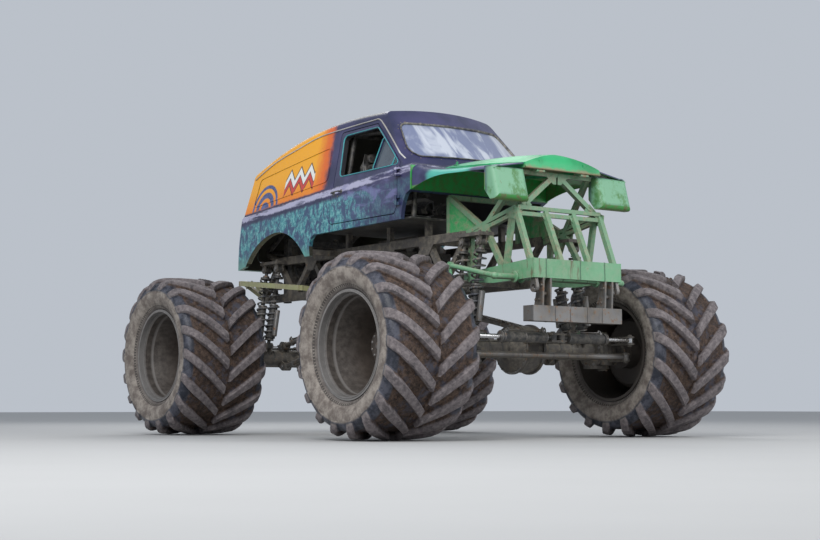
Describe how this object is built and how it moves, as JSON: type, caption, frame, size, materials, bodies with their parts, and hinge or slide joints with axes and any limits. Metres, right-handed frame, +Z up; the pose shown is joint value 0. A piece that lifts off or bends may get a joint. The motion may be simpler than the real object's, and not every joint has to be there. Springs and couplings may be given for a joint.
{
  "type": "monster truck",
  "caption": "Monster truck with an old steel panel van's cut body on a welded tube chassis, planetary axles and very large chevron-lug tyres.",
  "frame": {"origin": "on the ground under the middle of the wheelbase", "axes": "+X to the front, +Y to the truck's left, +Z up"},
  "size_m": [4.91, 3.8, 3.0739],
  "materials": {
    "tyre": "matte, muddy between the lugs",
    "rim_paint": "dusty grey-beige paint",
    "van_yellow": "aged yellow-orange paint, navy lower edge",
    "door_navy": "aged navy paint with turquoise patches",
    "bonnet_green": "aged emerald paint, rusty front edge",
    "wing_teal": "aged navy to teal paint, mint pod",
    "truss_green": "dusty sage green paint, rusty welds",
    "beam_mint": "dusty mint paint, rusty ends",
    "loop_cream": "yellow-green paint under dust",
    "dirty_steel": "dirty grey-tan steel",
    "worn_steel": "worn bare steel, rusty ends",
    "rod_chrome": "polished piston rod",
    "black_paint": "dusty black paint",
    "tan_paint": "dusty tan paint",
    "clear_glass": "hazy windscreen",
    "dark_glass": "dark tinted",
    "seat_vinyl": "black vinyl",
    "dash_plastic": "matte black",
    "wheel_rubber": "matte grip"
  },
  "bodies": {
    "chassis": {"axle_front": "dirty_steel", "links_front": "worn_steel", "shocks_front": "black_paint", "axle_rear": "dirty_steel", "links_rear": "worn_steel", "shocks_rear": "black_paint", "van_shell": "van_yellow", "windscreen": "clear_glass", "cab_floor": "black_paint", "wing_left": "wing_teal", "wing_right": "wing_teal", "chassis_frame": "dirty_steel", "front_truss": "truss_green", "anti_roll_bar": "beam_mint", "front_beam": "beam_mint", "skid_beam": "worn_steel", "tow_eyes_front": "worn_steel", "rear_loop": "loop_cream", "tow_eyes_rear": "worn_steel", "radiator": "black_paint", "engine": "dirty_steel", "transfer_case": "dirty_steel", "driveshafts": "worn_steel", "side_box": "tan_paint", "seat": "seat_vinyl", "dashboard": "dash_plastic", "steering_wheel": "wheel_rubber", "roll_cage": "black_paint"},
    "wheel_front_right": {"rim_front_right": "rim_paint", "tyre_front_right": "tyre"},
    "knuckle_front_right": {"knuckle_front_right": "dirty_steel"},
    "steer_barrel_front_right": {"steer_barrel_front_right": "black_paint"},
    "steer_rod_front_right": {"steer_rod_front_right": "rod_chrome"},
    "wheel_front_left": {"rim_front_left": "rim_paint", "tyre_front_left": "tyre"},
    "knuckle_front_left": {"knuckle_front_left": "dirty_steel"},
    "steer_barrel_front_left": {"steer_barrel_front_left": "black_paint"},
    "steer_rod_front_left": {"steer_rod_front_left": "rod_chrome"},
    "wheel_rear_right": {"rim_rear_right": "rim_paint", "tyre_rear_right": "tyre"},
    "knuckle_rear_right": {"knuckle_rear_right": "dirty_steel"},
    "steer_barrel_rear_right": {"steer_barrel_rear_right": "black_paint"},
    "steer_rod_rear_right": {"steer_rod_rear_right": "rod_chrome"},
    "wheel_rear_left": {"rim_rear_left": "rim_paint", "tyre_rear_left": "tyre"},
    "knuckle_rear_left": {"knuckle_rear_left": "dirty_steel"},
    "steer_barrel_rear_left": {"steer_barrel_rear_left": "black_paint"},
    "steer_rod_rear_left": {"steer_rod_rear_left": "rod_chrome"},
    "tie_rod_front": {"tie_rod_front": "worn_steel"},
    "tie_rod_rear": {"tie_rod_rear": "worn_steel"},
    "door_left": {"door_left": "door_navy", "vent_glass_left": "dark_glass"},
    "rear_door_left": {"rear_door_left": "van_yellow"},
    "door_right": {"door_right": "door_navy", "vent_glass_right": "dark_glass"},
    "rear_door_right": {"rear_door_right": "van_yellow"},
    "bonnet": {"bonnet": "bonnet_green"}
  },
  "joints": [
    {"name": "steer_front_left", "type": "hinge", "parent": "chassis", "child": "knuckle_front_left", "pos_m": [1.675, 0.98, 0.78], "axis": [0, 0, 1], "range_deg": [-22, 22]},
    {"name": "wheel_front_left", "type": "hinge", "parent": "knuckle_front_left", "child": "wheel_front_left", "pos_m": [1.675, 1.45, 0.78], "axis": [0, 1, 0], "continuous": true},
    {"name": "barrel_front_left", "type": "hinge", "parent": "chassis", "child": "steer_barrel_front_left", "pos_m": [2.155, 0.045, 0.865], "axis": [0, 0, 1], "range_deg": [-3, 3]},
    {"name": "rod_front_left", "type": "slide", "parent": "steer_barrel_front_left", "child": "steer_rod_front_left", "axis": [-0.0684, 0.9977, 0], "range_m": [-0.16, 0.16]},
    {"name": "steer_front_right", "type": "hinge", "parent": "chassis", "child": "knuckle_front_right", "pos_m": [1.675, -0.98, 0.78], "axis": [0, 0, 1], "range_deg": [-22, 22]},
    {"name": "wheel_front_right", "type": "hinge", "parent": "knuckle_front_right", "child": "wheel_front_right", "pos_m": [1.675, -1.45, 0.78], "axis": [0, 1, 0], "continuous": true},
    {"name": "barrel_front_right", "type": "hinge", "parent": "chassis", "child": "steer_barrel_front_right", "pos_m": [2.155, -0.045, 0.865], "axis": [0, 0, 1], "range_deg": [-3, 3]},
    {"name": "rod_front_right", "type": "slide", "parent": "steer_barrel_front_right", "child": "steer_rod_front_right", "axis": [-0.0684, -0.9977, 0], "range_m": [-0.16, 0.16]},
    {"name": "tie_rod_front", "type": "hinge", "parent": "knuckle_front_left", "child": "tie_rod_front", "pos_m": [1.975, 0.98, 0.72], "axis": [0, 0, 1], "range_deg": [-22, 22]},
    {"name": "steer_rear_left", "type": "hinge", "parent": "chassis", "child": "knuckle_rear_left", "pos_m": [-1.675, 0.98, 0.78], "axis": [0, 0, 1], "range_deg": [-22, 22]},
    {"name": "wheel_rear_left", "type": "hinge", "parent": "knuckle_rear_left", "child": "wheel_rear_left", "pos_m": [-1.675, 1.45, 0.78], "axis": [0, 1, 0], "continuous": true},
    {"name": "barrel_rear_left", "type": "hinge", "parent": "chassis", "child": "steer_barrel_rear_left", "pos_m": [-2.155, 0.045, 0.865], "axis": [0, 0, 1], "range_deg": [-3, 3]},
    {"name": "rod_rear_left", "type": "slide", "parent": "steer_barrel_rear_left", "child": "steer_rod_rear_left", "axis": [0.0684, 0.9977, 0], "range_m": [-0.16, 0.16]},
    {"name": "steer_rear_right", "type": "hinge", "parent": "chassis", "child": "knuckle_rear_right", "pos_m": [-1.675, -0.98, 0.78], "axis": [0, 0, 1], "range_deg": [-22, 22]},
    {"name": "wheel_rear_right", "type": "hinge", "parent": "knuckle_rear_right", "child": "wheel_rear_right", "pos_m": [-1.675, -1.45, 0.78], "axis": [0, 1, 0], "continuous": true},
    {"name": "barrel_rear_right", "type": "hinge", "parent": "chassis", "child": "steer_barrel_rear_right", "pos_m": [-2.155, -0.045, 0.865], "axis": [0, 0, 1], "range_deg": [-3, 3]},
    {"name": "rod_rear_right", "type": "slide", "parent": "steer_barrel_rear_right", "child": "steer_rod_rear_right", "axis": [0.0684, -0.9977, 0], "range_m": [-0.16, 0.16]},
    {"name": "tie_rod_rear", "type": "hinge", "parent": "knuckle_rear_left", "child": "tie_rod_rear", "pos_m": [-1.975, 0.98, 0.72], "axis": [0, 0, 1], "range_deg": [-22, 22]},
    {"name": "door_left", "type": "hinge", "parent": "chassis", "child": "door_left", "pos_m": [0.934, 0.826, 2.25], "axis": [0, 0, -1], "range_deg": [0, 65]},
    {"name": "rear_door_left", "type": "hinge", "parent": "chassis", "child": "rear_door_left", "pos_m": [-1.95598, 0.545, 2.20368], "axis": [-0.1842, 0, -0.9829], "range_deg": [0, 100]},
    {"name": "door_right", "type": "hinge", "parent": "chassis", "child": "door_right", "pos_m": [0.934, -0.826, 2.25], "axis": [0, 0, 1], "range_deg": [0, 65]},
    {"name": "rear_door_right", "type": "hinge", "parent": "chassis", "child": "rear_door_right", "pos_m": [-1.95598, -0.545, 2.20368], "axis": [0.1842, 0, 0.9829], "range_deg": [0, 100]},
    {"name": "bonnet", "type": "hinge", "parent": "chassis", "child": "bonnet", "pos_m": [2.243, 0, 2.274], "axis": [0, 1, 0], "range_deg": [0, 60]}
  ],
  "couplings": [
    {"joint": "barrel_front_left", "follows": "steer_front_left", "ratio": -0.117},
    {"joint": "rod_front_left", "follows": "steer_front_left", "m_per_rad": 0.401},
    {"joint": "steer_front_right", "follows": "steer_front_left", "ratio": 1},
    {"joint": "barrel_front_right", "follows": "steer_front_left", "ratio": -0.117},
    {"joint": "rod_front_right", "follows": "steer_front_left", "m_per_rad": -0.401},
    {"joint": "tie_rod_front", "follows": "steer_front_left", "ratio": -1},
    {"joint": "barrel_rear_left", "follows": "steer_rear_left", "ratio": -0.117},
    {"joint": "rod_rear_left", "follows": "steer_rear_left", "m_per_rad": -0.401},
    {"joint": "steer_rear_right", "follows": "steer_rear_left", "ratio": 1},
    {"joint": "barrel_rear_right", "follows": "steer_rear_left", "ratio": -0.117},
    {"joint": "rod_rear_right", "follows": "steer_rear_left", "m_per_rad": 0.401},
    {"joint": "tie_rod_rear", "follows": "steer_rear_left", "ratio": -1}
  ]
}
